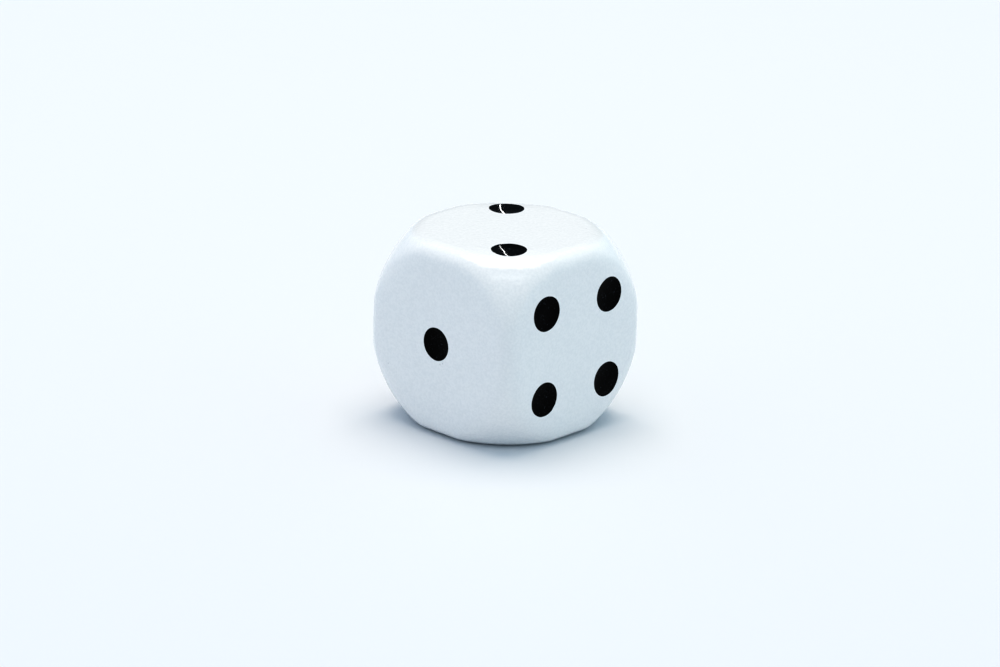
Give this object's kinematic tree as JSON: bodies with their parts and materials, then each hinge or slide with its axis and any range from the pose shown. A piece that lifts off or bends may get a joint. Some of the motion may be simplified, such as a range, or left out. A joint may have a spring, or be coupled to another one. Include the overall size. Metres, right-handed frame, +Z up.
{
  "type": "game die",
  "caption": "White moulded die with ball-rounded corners, round flat faces and dished pips filled with glossy black enamel.",
  "frame": {"origin": "middle of the face with five pips, which the die rests on", "axes": "+Z up, out of the face with two pips; -Y out of the face with one pip; +X out of the face with four pips"},
  "size_m": [0.016, 0.016, 0.016],
  "materials": {
    "body": "polished white moulding with a faint orange-peel texture",
    "pips": "glossy black enamel, hollow on top"
  },
  "bodies": {
    "root": {"die_body": "body", "pip_one_centre": "pips", "pip_two_right_front": "pips", "pip_two_left_back": "pips", "pip_three_front_high": "pips", "pip_three_centre": "pips", "pip_three_back_low": "pips", "pip_four_front_low": "pips", "pip_four_front_high": "pips", "pip_four_back_low": "pips", "pip_four_back_high": "pips", "pip_five_left_front": "pips", "pip_five_left_back": "pips", "pip_five_right_front": "pips", "pip_five_right_back": "pips", "pip_five_centre": "pips", "pip_six_left_low": "pips", "pip_six_left_high": "pips", "pip_six_right_low": "pips", "pip_six_right_high": "pips", "pip_six_left_middle": "pips", "pip_six_right_middle": "pips"}
  },
  "joints": []
}
